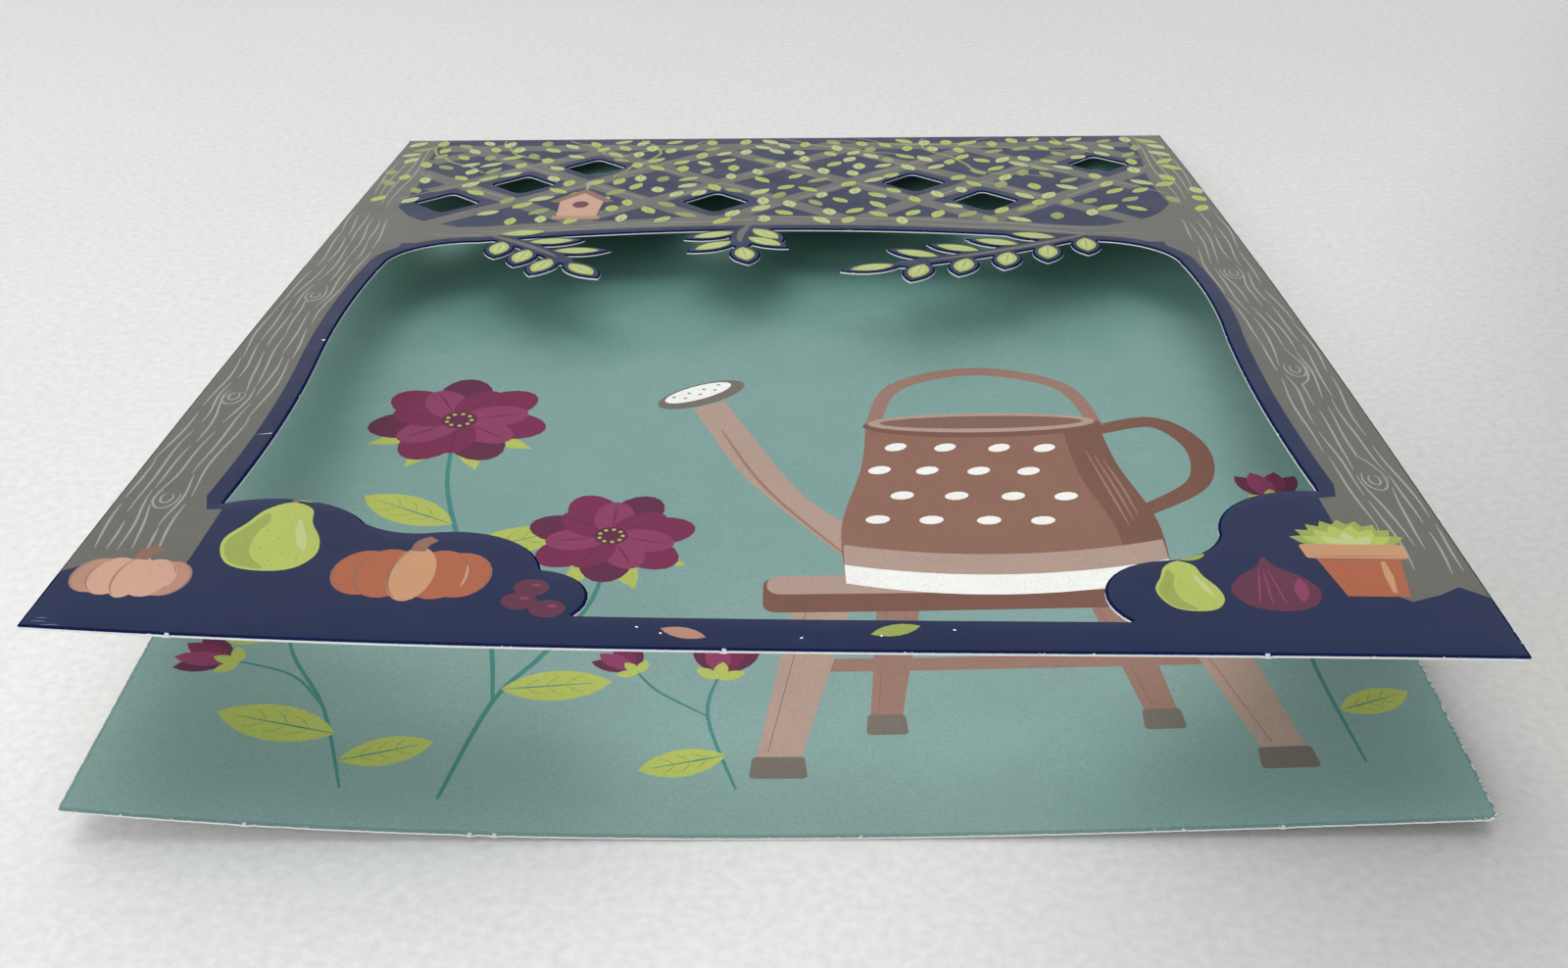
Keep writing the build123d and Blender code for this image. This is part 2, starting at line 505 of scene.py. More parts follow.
def grain_line(side, base, v, length, phase, knots):
    """A line of grain down a post that parts round the knots."""
    points = []
    for k in range(int(length / 1.2) + 3):
        down = v + 1.2 * k
        if down > post_foot:
            break
        x = base + 0.45 * math.sin(down / 8 + side) + 0.16 * math.sin(down / 2.9 + phase)
        for knot_x, knot_v in knots:
            push = math.exp(-((x - knot_x) ** 2 + ((down - knot_v) / 3) ** 2) / 2.2)
            x += push if x >= knot_x else -push
        points.append((x, down))
    return points


def knot_rings(knot_x, knot_v):
    for ring, gap in ((0.55, 0.4), (1.15, 1.1)):
        turn = [gap + (math.tau - 1.7 * gap) * k / 14 for k in range(15)]
        yield grain([(knot_x + ring * math.sin(t), knot_v - 2.1 * ring * math.cos(t)) for t in turn])


def post_grain(rng):
    for side, knots in post_knots.items():
        for k in range(post_lines):
            base = side * (56.5 + 5.7 * k / (post_lines - 1))
            v = rng.uniform(46, 58)
            while v < 158:
                length = rng.uniform(8, 19)
                points = grain_line(side, base, v, length, rng.uniform(0, 6), knots)
                if len(points) > 4:
                    yield grain(points)
                v += length + rng.uniform(1.4, 4.2)
        for knot in knots:
            yield from knot_rings(*knot)
        for k in range(4):
            base = 58.4 + 1.25 * k
            downs = range(3 + 4 * k, 47 - 3 * k, 2)
            yield grain([(side * (base + 0.3 * math.sin(v / 5 + k)), v) for v in downs])


def beam_grain():
    for k, (start, end) in enumerate(((-50, -12), (-30, 6), (-6, 34), (14, 50), (-44, -24), (22, 46))):
        points = []
        for i in range(19):
            x = start + (end - start) * i / 18
            v = arch_at(x) - window_border - 1.2 - 1.3 * (k % 3) + 0.25 * math.sin(i * 0.8 + k)
            points.append((x, v))
        yield grain(points)


def vines(rng, gaps):
    """Thin stems that wander down from the rail."""
    for k in range(11):
        place = (-58 + 11.6 * k + rng.uniform(-2, 2), 0.8)
        heading = 270 + rng.uniform(-40, 40)
        points = [place]
        for _ in range(rng.randint(9, 15)):
            heading += rng.uniform(-26, 26)
            place = ahead(place, heading, 2.6)
            inside = abs(place[0]) <= vine_reach and 0 < place[1] < vine_low
            if not inside or not clear_of([place], gaps, 1.2):
                break
            points.append(place)
        if len(points) > 3:
            yield "leaf_dark", stroke(smooth(points, False, 3), 0.5, 0.5)


def vine_leaves(rng, gaps):
    """Leaves over the arbour, thicker towards the fold and the middle."""
    taken = []
    for _ in range(vine_tries):
        x, v = rng.uniform(-62.3, 62.3), 1.2 + 52 * rng.random() ** 1.25
        crowd = 0.3 + 0.7 * math.exp(-(((x - 4) / 34) ** 2))
        if v > 20 and rng.random() > crowd * (1.2 - (v - 20) / 46):
            continue
        if v > arch_at(x) - arch_clear or (abs(x) > brace_inner and v > brace_low):
            continue
        if any(math.hypot(x - a, 0.85 * (v - b)) < vine_leaf_gap for a, b in taken):
            continue
        heading = rng.uniform(35, 145) + rng.choice((0, 180))
        length, width = rng.uniform(3.5, 4.7), rng.uniform(1.7, 2.1)
        base, tip = ahead((x, v), heading, -length / 2), ahead((x, v), heading, length / 2)
        if min(base[1], tip[1]) < 0.6 or max(abs(base[0]), abs(tip[0])) > vine_leaf_reach:
            continue
        if not clear_of([base, (x, v), tip], gaps, 0.9):
            continue
        taken.append((x, v))
        shade = rng.choice(("lime_pale", "lime_pale", "lime", "leaf_dark", "lime"))
        yield shade, leaf(base, heading, length, width, 4)
        yield "olive", rib(base, heading, length, (0.12, 0.45, 0.8), 0.22)


def printed_sprays():
    """The leaves and stems printed inside the cut ones."""
    length, width = cut_leaf_length - 2 * spray_inset, cut_leaf_width - spray_inset
    for spray in sprays:
        butt = ahead(stem_at(spray, 0)[0], spray["heading"], -5)
        yield "timber", stroke([butt] + stem_line(spray)[:-1], 1.1)
        for place, heading in spray_leaves(spray):
            base = ahead(place, heading, spray_inset)
            yield "lime", leaf(base, heading, length, width)
            yield "lime_pale", leaf(ahead(base, heading, 0.6), heading, length - 1.4, width - 1.0, 5)
            yield "olive", rib(base, heading, length, (0.0, 0.45, 0.85), 0.24)


def squash(cx, cv, rx, rv, dark, main, pale, line):
    """A ribbed squash: its outer ribs first, then the middle one, the stalk and a highlight."""
    for out, ink, wide in ((0.62, dark, 0.42), (0.34, main, 0.42), (0.0, pale, 0.3)):
        high = rv * (1 - 0.28 * out)
        for side in (1, -1):
            yield ink, ellipse(cx + side * out * rx, cv, wide * rx, high, 0, 22)
            edge = []
            for k in range(-4, 5):
                x = cx + side * rx * (out + 0.95 * wide * math.cos(0.3 * k))
                edge.append((x, cv + 0.95 * high * math.sin(0.3 * k)))
            yield line, stroke(edge, 0.2)
    stalk = [(cx - 0.2, cv - rv * 0.85), (cx, cv - rv - 0.8), (cx + 0.9, cv - rv - 1.9)]
    turns = (-0.9, -0.4, 0.1, 0.6, 1.0)
    shine = [(cx + 0.64 * rx + 0.5 * math.cos(t), cv + 0.5 * rv * math.sin(t)) for t in turns]
    yield "brown", stroke(smooth(stalk, False), 1.5, 0.8)
    yield pale, stroke(shine, 0.3)


def pear(cx, cv, size):
    body = [(-3.9, 2), (-4.4, -1.2), (-3.2, -4.4), (-2.2, -7.4), (-0.2, -9.2), (2, -8), (2.7, -5)]
    body += [(4.1, -1.6), (4.4, 1.6), (3, 4.2), (0.4, 4.9), (-2.4, 4.2)]
    shade = [(-3.6, 1.8), (-4, -1), (-2.8, -4.2), (-1.8, -6.8), (-1.2, -5), (-1.8, -2), (-1.4, 1.8)]
    shade += [(0.4, 4.4), (-2.2, 3.9)]
    light = [(1.4, -5.8), (2, -4.4), (3, -1.2), (3.2, 0.8), (2.3, -0.6), (1.5, -3.4)]
    stalk = placed([(0, -8.8), (0.3, -10.4), (1.3, -11.4)], cx, cv, size)
    spots = [(-0.7, 0.6), (0.6, 2.9), (-0.9, -3.0), (1.3, 1.3), (2.9, 2.4), (0.2, -6.2), (0.4, -1.4)]
    yield "brown", stroke(stalk, 0.8 * size, 0.6)
    for ink, points in (("lime", body), ("olive", shade), ("lime_pale", light)):
        yield ink, smooth(placed(points, cx, cv, size), True, 4)
    for x, v in placed(spots, cx, cv, size):
        yield "olive", disc(x, v, 0.15 * size, 7)
    yield "olive", leaf((cx + 0.4 * size, cv - 9.6 * size), 25, 4.2 * size, 1.9 * size, 5)


def fig(cx, cv):
    body = [(0.2, -5.4), (1, -3.4), (3, -1.4), (4, 1.2), (2.8, 3.9), (0, 4.8)]
    body += [(-2.8, 3.9), (-4, 1.2), (-2.8, -1.4), (-0.8, -3.4)]
    yield "fig", smooth(placed(body, cx, cv), True, 4)
    yield "plum_mid", leaf((cx + 2.0, cv + 3.2), 82, 4.6, 1.3)
    for lean in (-1.9, -0.8, 0.4):
        points = [(cx + lean * (0.35 + 0.65 * t), cv - 3.0 + 6.4 * t) for t in (0, 0.3, 0.6, 0.85, 1)]
        yield "plum_mid", stroke(points, 0.22)


def berries(places):
    for x, v in places:
        yield "fig", disc(x, v, 1.6, 14)
        yield "plum_mid", ellipse(x + 0.4, v - 0.5, 0.45, 0.3, 0, 8)


def flowerpot(cx, cv):
    """A clay pot with a rosette of pointed leaves."""
    rosette = ((9, "olive", 5.8, 2.3), (6, "lime", 4.7, 1.9), (3, "lime_pale", 3.3, 1.4))
    for count, ink, length, width in rosette:
        for k in range(count):
            heading = 90 + (k - (count - 1) / 2) * 160 / (count + 0.5)
            yield ink, leaf((cx, cv - 4.3), heading, length, width, 5)
    rim = placed([(-4.9, -5), (4.9, -5), (4.7, -2.2), (-4.7, -2.2)], cx, cv)
    yield "orange", placed([(-4, -3.2), (4, -3.2), (2.8, 5), (-2.8, 5)], cx, cv)
    yield "orange_pale", rounded(rim, 0.4, 3)
    yield "brown", stroke(placed([(-4, -1.9), (0, -1.8), (4, -1.9)], cx, cv), 0.3)
    yield "brown", stroke(placed([(-4.3, -2.7), (0, -2.6), (4.3, -2.7)], cx, cv), 0.16)
    yield "orange_pale", stroke(placed([(2.1, -1.6), (1.9, 1.2), (1.6, 4.3)], cx, cv), 0.8, 0.5)


def birdhouse(cx, cv):
    yield "grain", stroke(placed([(0, -15), (0.1, -12), (0, -8)], cx, cv), 0.5, 0.8)
    yield "salmon", placed([(-3.3, -4), (0, -8), (3.3, -4), (2.8, 6.2), (-2.8, 6.2)], cx, cv)
    yield "brown", placed([(-4.8, -3), (0, -10.4), (4.8, -3), (3.6, -2.2), (0, -7.8), (-3.6, -2.2)], cx, cv)
    yield "fig", ellipse(cx, cv - 1.2, 1.2, 1.9, 0, 16)
    yield "salmon_dark", placed(rectangle(-3.4, 5.2, 3.4, 6.8), cx, cv)


def specks():
    """Where the coating is chipped on the strip, and rubbed at the front left corner."""
    for x, v in ((-12.0, 173.8), (-9.9, 174.8), (2.1, 175.3), (8.9, 174.8), (15.2, 173.7)):
        yield "bare", ellipse(x, v, 0.11, 0.16, 20 * x, 8)
    for x, v, length in ((-62.6, 176.5, 1.3), (-62.3, 175.9, 0.9), (-61.6, 177.0, 1.6)):
        yield "scuff", stroke([(x, v), (x + 0.5 * length, v - 0.12), (x + length, v - 0.1)], 0.16)


def cover_print():
    rng = random.Random(11)
    gaps = [diamond(column, row) for column, row in gap_cells]
    return [
        ("navy", rectangle(-half_card - 1, -0.7, half_card + 1, 178.4)),
        *posts_and_beam(),
        *lattice(),
        *post_grain(rng),
        *beam_grain(),
        *borders(),
        *vines(rng, gaps),
        *vine_leaves(rng, gaps),
        *birdhouse(-30.0, 44.6),
        *printed_sprays(),
        *pear(-46.6, 160.4, 1.02),
        *squash(-57.0, 167.6, 5.0, 4.0, "salmon_dark", "salmon", "salmon", "tan_dark"),
        *squash(-32.8, 165.0, 6.9, 5.2, "orange", "orange", "orange_pale", "brown"),
        *berries(((-22.6, 169.6), (-20.0, 170.9), (-21.8, 167.1))),
        *flowerpot(53.4, 162.2),
        *pear(36.6, 166.9, 0.66),
        *fig(44.4, 165.2),
        ("olive", leaf((8.0, 174.6), 20, 4.6, 1.9)),
        ("salmon_dark", leaf((-6.0, 175.4), 160, 4.2, 1.8)),
        *specks(),
    ]


# The print inside the back panel: a spotted watering can on a stool, with garden flowers beside it
stems = [
    (0.6, [(-40, 102), (-39, 116), (-35, 131), (-30, 146), (-28, 158)]),
    (0.6, [(-19, 129), (-20, 140), (-24, 150), (-28, 158), (-31, 173)]),
    (0.42, [(-52, 141), (-49, 151), (-44, 160), (-40, 172)]),
    (0.34, [(-44, 160), (-48, 155), (-54, 153)]),
    (0.38, [(-6, 153), (-7, 160), (-4, 171)]),
    (0.32, [(-7, 160), (-12, 156), (-14.4, 152.6)]),
    (0.45, [(56, 121), (56, 136), (53, 150), (54, 169)]),
]
stem_leaves = [
    ((-37, 125), 152, 12.5, 5.8), ((-35, 131), 26, 12, 5.6), ((-31, 143), 165, 14, 6.4),
    ((-22, 146), -8, 10, 4.8), ((-27.5, 156), 8, 11, 5), ((-42, 164), 168, 12, 5.6),
    ((-41, 168), 22, 9, 4.2), ((-50.6, 147), 200, 7, 3.6), ((-5, 166), 196, 8.5, 4),
    ((55.6, 140), 62, 8, 4.2), ((53.2, 150), 140, 8, 4), ((53.6, 161), 20, 7.6, 3.8),
]
sepals = [((-40, 102), 11.2), ((-19, 128.5), 9.8)]
buds = [
    ((56, 120.6), 6.2, 88), ((-52, 141), 6.6, 110), ((-54.6, 153), 5.6, 165),
    ((-6, 153), 5.8, 82), ((-14.6, 152.4), 4.6, 130),
]
petals = 7
petal_rings = (
    (0.30, 0.245, 0.17, 0.0, ("plum", "plum_dark")),
    (0.22, 0.2, 0.13, 0.5, ("plum_mid", "plum")),
)


def flower(cx, cv, size, turn):
    """A bloom seen from the front, with two rings of round petals and a beaded middle."""
    for reach, along, across, shift, shades in petal_rings:
        for k in range(petals):
            angle = turn + 360 / petals * (k + shift)
            px, pv = ahead((cx, cv), -angle, reach * size)
            yield shades[k % 2], ellipse(px, pv, along * size, across * size, angle, 18)
    for k in range(petals):
        angle = turn + 360 / petals * (k + 0.5)
        yield "plum_dark", rib((cx, cv), -angle, size, (0.12, 0.24, 0.36), 0.014 * size)
    yield "plum_dark", disc(cx, cv, 0.11 * size, 16)
    for k in range(9):
        yield "lime", disc(*ahead((cx, cv), 40 * k, 0.075 * size), 0.014 * size, 7)


def broad_leaf(base, heading, length, width):
    """A leaf with a teal midrib and side veins."""
    yield "lime", leaf(base, heading, length, width, 8)
    yield "stem", rib(base, heading, length, (0.0, 0.3, 0.84), 0.24)
    for share in (0.22, 0.4, 0.58):
        for side in (1, -1):
            reach = 0.34 * width * (1 - abs(share - 0.42)) * side
            ends = ((0.0, 0.0), (0.07, 0.6), (0.16, 1.0))
            vein = [ahead(base, heading, (share + on) * length, out * reach) for on, out in ends]
            yield "olive", stroke(vein, 0.2)


def bud(place, size, heading):
    """A half-open bud: four petals out of a lime cup."""
    for spread, ink in ((-34, "plum_dark"), (34, "plum_dark"), (-12, "plum"), (14, "plum_mid")):
        yield ink, leaf(place, heading + spread, size, size * 0.46)
    base = ahead(place, heading, -0.16 * size)
    for spread in (-58, 58, 0):
        yield "lime", leaf(base, heading + spread, size * 0.5, size * 0.26, 5)


def garden():
    for width, points in stems:
        yield "stem", stroke(smooth(points, False), width, 0.6)
    for values in stem_leaves:
        yield from broad_leaf(*values)
    for place, reach in sepals:
        for heading in (205, 245, 290, 332):
            yield "lime", leaf(place, heading, reach, 3.0, 5)
    yield from flower(-40, 100, 20.5, 12)
    yield from flower(-19, 127, 17.5, 40)
    for values in buds:
        yield from bud(*values)


def sagging(half, v, sag):
    """A line across the can from side to side, lower in its middle."""
    return arc((-half, v), (0, v + sag), (half, v), 2.0) + [(half, v)]


def can_shapes():
    """The can about its own origin, its spout to the left, from its far parts to its near ones."""
    side = smooth([(13.2, -15.5), (14.0, -6), (16.4, 6), (16.2, 17.0)], False, 6)
    shade = smooth([(9.0, -15.5), (9.6, -4), (12.0, 8), (11.4, 17.0)], False, 6)
    handle = smooth([(13, -14), (19.5, -15.5), (23.2, -9.5), (22.0, -1.5), (15.5, 4.0)], False, 6)
    hoop = smooth([(-12.5, -15), (-9.5, -25), (0, -29), (10, -25), (13, -15)], False, 6)
    spout = smooth([(-13, 8.5), (-20, 0.5), (-26.5, -14.5), (-29.4, -22)], False, 4)
    spout += smooth([(-33.0, -20.2), (-30.9, -14.5), (-25.8, -2.5), (-13, 17)], False, 4)
    seam = smooth([(-14, 15), (-24, -1), (-29.6, -15)], False, 6)
    band, foot, base = sagging(16.3, 9.8, 2.2), sagging(16.3, 13.6, 2.2), sagging(16.2, 17.0, 2.4)
    rose = (-32.2, -23.6)
    rose_face = (rose[0] - 0.4, rose[1] - 0.5)
    spots = {
        -10.2: (-10, -4.5, 1.5, 6.5),
        -5: (-12, -6.8, -1.2, 4.2),
        0.4: (-9.8, -4, 2, 7.6),
        5.4: (-12.6, -7, -1, 4.6),
    }
    yield "brown_dark", stroke(handle, 2.6, 0.8)
    yield "tan_dark", stroke(hoop, 2.0, 0.8)
    yield "tan", spout
    yield "tan_dark", stroke(seam, 0.4)
    yield "grey", ellipse(*rose, 5.7, 2.5, -32, 22)
    yield "white", ellipse(*rose_face, 4.4, 1.6, -32, 20)
    yield "brown", side + base[::-1] + [(-x, v) for x, v in side[::-1]]
    yield "brown_dark", side + shade[::-1]
    yield "tan", band + foot[::-1]
    yield "white", foot + base[::-1]
    yield "brown_dark", ellipse(0, -15.5, 13.6, 2.9, 0, 26)
    yield "tan", ellipse(0, -16.1, 13.0, 2.3, 0, 26)
    yield "fine_line", ellipse(0, -16.2, 11.6, 1.5, 0, 24)
    for k in range(7):
        yield "grey", ellipse(*ahead(rose_face, 32, k - 3.0, 0.45 * (-1) ** k), 0.24, 0.18, 0, 6)
    for v, xs in spots.items():
        for x in xs:
            yield "white", ellipse(x, v + 0.04 * x, 1.3, 0.85, -12 + v, 12)
    for k in range(3):
        line = [(11.0 + 0.8 * k, -9.0 + k), (12.2 + 0.8 * k, -1.0), (13.4 + 0.6 * k, 7.0 - k)]
        yield "tan_dark", stroke(smooth(line, False), 0.28)


def stool_leg(top, foot, width, ink):
    """A turned leg that narrows downwards, in a plain grey cap."""
    (x0, v0), (x1, v1) = top, foot
    profile = ((0.0, 0.5), (0.3, 0.46), (0.62, 0.4), (0.8, 0.37), (1.0, 0.34))
    left = [(x0 + (x1 - x0) * t - width * w, v0 + (v1 - v0) * t) for t, w in profile]
    right = [(x0 + (x1 - x0) * t + width * w, v0 + (v1 - v0) * t) for t, w in profile]
    cap = [(-0.4, -0.3), (0.4, -0.3), (0.44, 2.9), (-0.44, 2.9)]
    yield ink, smooth(left, False) + smooth(right, False)[::-1]
    yield "fine_line", stroke([(x0 - 0.3 * width, v0 + 2), (x1 - 0.16 * width, v1 - 1)], 0.26)
    yield "grey", rounded([(x1 + a * width, v1 + b) for a, b in cap], 0.5)


def stool(cx, top):
    for side in (-1, 1):
        yield from stool_leg((cx + side * 11, top + 5), (cx + side * 13.2, top + 25), 4.6, "tan_dark")
    yield "tan_dark", placed(rectangle(-20, 15.4, 20, 17.6), cx, top)
    for side in (-1, 1):
        yield from stool_leg((cx + side * 19, top + 5), (cx + side * 23.6, top + 31.4), 6.2, "tan")
    yield "brown_dark", rounded(placed(rectangle(-25.4, 0.4, 25.4, 7.0), cx, top), 1.4)
    yield "tan", rounded(placed(rectangle(-25.0, 0, 25.0, 3.6), cx, top), 1.5)


def inside_print():
    can = [(ink, placed(points, 24.5, 118.4, 1.08)) for ink, points in can_shapes()]
    return [*garden(), *stool(23.5, 135.2), *can]


# The sheet in the flat: its station s is v on the cover, then runs negative round the fold and beyond it
fold_run = 1.2
fold_rows = 9
fold_reach = half_card - 0.6
fold_guard = 0.2
front_inset = 0.16
side_inset = 0.04
back_end = -fold_run - (panel_length - front_inset)
cover_end = panel_length - 0.02
print_end = -0.7
grid_step = 3.0
edge_step = 1.2
back_step = 0.45
fine_step = 0.14
sample_step = 0.1
merge_distance = 1e-5

# Cut edges: the rows of points where they roll, the reach of the dulled ink, and how far they stray
roll_steps = (0.12, 0.28, 0.42)
rolled_reach = 0.28
wear_stops = (0.0,) + roll_steps
wear_shares = (1.0, 0.75, 0.6, 0.0)
rough_from = -40
back_stray = 0.035
rim_stray = 0.012
window_stray = 0.006

# Small tufts that the die left
edge_nicks = [(-51.0, cover_end), (-4.4, cover_end), (41.2, cover_end), (half_card, 174.8)]
window_nicks = [(50.6, 116.3), (50.1, 137.1), (-54.1, 105.1), (-53.6, 134.2)]
back_nicks = [(-47.2, back_end), (44.5, back_end), (-27.4, back_end), (-25.2, back_end)]
nick_size = 0.13
nick_reach = 0.42
nick_patch = 0.2
nick_zone = 1.0

# How deep the die pressed each face at its cut edges, and how far in
inner_press = (0.11, 0.34)
under_press = (0.07, 0.4)
far_press = (0.19, 0.42)
near_press = (0.14, 0.42)
near_from = 75


def station_of(v):
    """Station of a place down the back panel, with v from the card's folded edge."""
    return -fold_run - (v - fold_outer_radius)


def triangulate(outlines, lines=(), loose=()):
    """Triangles over some closed outlines, open lines and loose points, all kept as edges."""
    points = []
    edges = []
    for group, closed in ((outlines, True), (lines, False)):
        for outline in group:
            first, count = len(points), len(outline)
            points += outline
            edges += [(first + k, first + (k + 1) % count) for k in range(count if closed else count - 1)]
    points += loose
    verts, _, faces, _, _, _ = delaunay_2d_cdt([Vector(p) for p in points], edges, [], 0, merge_distance)
    return np.array([tuple(p) for p in verts]), np.array([tuple(f) for f in faces])


def middles(verts, faces):
    centres = verts[faces].mean(axis=1)
    return centres[:, 0], centres[:, 1]


def sheet_rectangle():
    side = half_card - side_inset
    corners = rectangle(-side, back_end, side, cover_end)
    points = []
    for i, radius in enumerate(corner_radii):
        points += rounded_corner(corners[i - 1], corners[i], corners[(i + 1) % 4], radius, 5)
    return points


def fold_lines(reach):
    stations = [-fold_run * k / (fold_rows - 1) for k in range(fold_rows)]
    return [[(-reach, s), (reach, s)] for s in stations]


def largest_patch(faces, wanted):
    """Of the wanted triangles, those of the patch with the most of them."""
    owners = {}
    for i in wanted.tolist():
        for edge in sides(faces[i].tolist()):
            owners.setdefault(frozenset(edge), set()).add(i)
    links = {i: set() for i in wanted.tolist()}
    for pair in owners.values():
        for i in pair:
            links[i] |= pair
    left = set(links)
    best = []
    while left:
        front = [left.pop()]
        patch = []
        while front:
            here = front.pop()
            patch.append(here)
            fresh = links[here] & left
            left -= fresh
            front += fresh
        best = max(best, patch, key=len)
    return best


def rim(faces):
    """Directed edges that only one triangle has, as a map from start to end."""
    edges = set()
    for a, b, c in faces.tolist():
        edges.update(((a, b), (b, c), (c, a)))
    return {a: b for a, b in edges if (b, a) not in edges}


def loops(verts, faces):
    """The closed outlines round a set of triangles."""
    onward = rim(faces)
    found = []
    while onward:
        start, here = onward.popitem()
        loop = [start]
        while here != start:
            loop.append(here)
            here = onward.pop(here)
        found.append([tuple(verts[k]) for k in loop])
    return found


def cut_loops():
    """Outlines of the sheet and its openings. Only the window's largest patch falls out of the die."""
    sprays_cut = spray_outlines()
    window = window_outline()
    gaps = [diamond(column, row) for column, row in gap_cells]
    sheet = sheet_rectangle()
    verts, faces = triangulate([sheet, window] + sprays_cut + gaps, fold_lines(half_card + 1))
    xs, vs = middles(verts, faces)
    open_window = winding(xs, vs, window) != 0
    for outline in sprays_cut:
        open_window &= winding(xs, vs, outline) == 0
    hole = np.zeros(len(faces), bool)
    hole[largest_patch(faces, np.flatnonzero(open_window))] = True
    for outline in gaps:
        hole |= winding(xs, vs, outline) != 0
    kept = (winding(xs, vs, sheet) != 0) & ~hole
    return loops(verts, faces[kept])


def nick_gap(place):
    """Distance to the nearest tuft."""
    return min(math.dist(place, nick) for nick in edge_nicks + window_nicks + back_nicks)


def stray_at(x, s):
    """How far the cut edge strays: hardly on the cover, more on the back panel's sides."""
    if s < rough_from:
        return back_stray
    return rim_stray if abs(x) > half_card - 0.3 or s > cover_end - 0.2 else window_stray


def stepped(loop):
    """A cut outline with short steps, the shortest of them at the tufts."""
    points = []
    for a, b in sides(loop):
        middle = ((a[0] + b[0]) / 2, (a[1] + b[1]) / 2)
        step = back_step if middle[1] < rough_from else edge_step
        if nick_gap(middle) < nick_zone + math.dist(a, b) / 2:
            step = fine_step
        points += steps_along(a, b, step)
    return points


def worked_loop(loop, rng):
    """A cut outline with its slight roughness and its tufts."""
    loop = stepped(loop)
    beyond = half_card - 0.01
    moved = []
    for i, (x, s) in enumerate(loop):
        push = -abs(rng.gauss(0, 1)) * stray_at(x, s)
        gap = nick_gap((x, s))
        if gap < nick_reach:
            push = nick_size * (1 - (gap / nick_reach) ** 2) * rng.uniform(0.7, 1.1)
        if -fold_run - fold_guard < s < fold_guard:
            push = 0
        out_x, out_s = outward(loop, i)
        moved.append((min(max(x + out_x * push, -beyond), beyond), s + out_s * push))
    return moved


def grid(s_from, s_to):
    """Loose points over the sheet, for its curl."""
    found = []
    columns = int(card_width / grid_step)
    rows = int((s_to - s_from) / grid_step)
    for i in range(1, columns):
        for j in range(1, rows):
            found.append((-half_card + card_width * i / columns, s_from + (s_to - s_from) * j / rows))
    return found


def paint(verts, faces, shapes, ground):
    """The topmost ink over each triangle."""
    xs, vs = middles(verts, faces)
    names = np.full(len(faces), ink_number[ground])
    for ink, outline in shapes:
        side_x, side_v = zip(*outline)
        box = (xs > min(side_x)) & (xs < max(side_x)) & (vs > min(side_v)) & (vs < max(side_v))
        box = np.flatnonzero(box)
        hit = winding(xs[box], vs[box], outline) != 0
        names[box[hit]] = ink_number[ink]
    return names


def inside_sheet(verts, faces, cuts):
    xs, vs = middles(verts, faces)
    return sum(winding(xs, vs, loop) for loop in cuts) != 0


def kept_part(verts, faces):
    """The triangles with only the places that they use."""
    used, fresh = np.unique(faces, return_inverse=True)
    return verts[used], fresh.reshape(faces.shape)


def painted_face(cuts, insets, shapes, ground):
    """The triangles over the sheet within its cuts, and the ink of each."""
    outlines = cuts + insets + [outline for _, outline in shapes]
    verts, faces = triangulate(outlines, fold_lines(fold_reach), grid(back_end, cover_end))
    verts, faces = kept_part(verts, faces[inside_sheet(verts, faces, cuts)])
    return verts, faces, paint(verts, faces, shapes, ground)


def edge_gaps(verts, outlines):
    """Distance from each place to the nearest cut edge, from samples along it."""
    samples = []
    for outline in outlines:
        for a, b in sides(outline):
            samples += steps_along(a, b, sample_step)
    tree = KDTree(len(samples))
    for i, (x, s) in enumerate(samples):
        tree.insert((x, s, 0.0), i)
    tree.balance()
    return [tree.find((x, s, 0.0))[2] for x, s in verts]


def in_patch(xs, ss, nicks):
    """Whether each place is in the bare patch round a tuft."""
    return distances(xs, ss, [[nick] for nick in nicks]) < nick_patch


def outer_face(cuts):
    """The printed outside of the cover, the fold, and the bare underside."""
    insets = [grown(loop, -by) for loop in cuts for by in roll_steps]
    verts, faces, names = painted_face(cuts, insets, cover_print(), "bare")
    xs, ss = middles(verts, faces)
    names[in_patch(xs, ss, edge_nicks + window_nicks)] = ink_number["bare"]
    printed = ss > print_end
    finish = np.where(printed, finish_number["coated_print"], finish_number["plain_stock"])
    rolled = np.array(edge_gaps(np.column_stack((xs, ss)), cuts)) < rolled_reach
    finish[rolled & printed] = finish_number["rolled_print"]
    return verts, faces, names, finish


def inner_face(cuts):
    """The bare inside of the cover, and the print on the back panel."""
    shapes = [(ink, [(x, station_of(v)) for x, v in outline]) for ink, outline in inside_print()]
    sheet = max(cuts, key=len)
    verts, faces, names = painted_face(cuts, [grown(sheet, -by) for by in roll_steps], shapes, "teal")
    xs, ss = middles(verts, faces)
    unprinted = ss > -fold_run / 2
    names[unprinted | in_patch(xs, ss, back_nicks)] = ink_number["bare"]
    ground = names == ink_number["teal"]
    finish = np.where(ground, finish_number["washed_and_shaded_ground"], finish_number["uncoated_print"])
    finish[unprinted] = finish_number["plain_stock"]
    return verts, faces, names, finish


# The sheet in space

def curl(u, left, right, s_bend):
    return (left + right) / 2 * u**2 + ((right - left) / 2 - s_bend) * u + s_bend * u**3


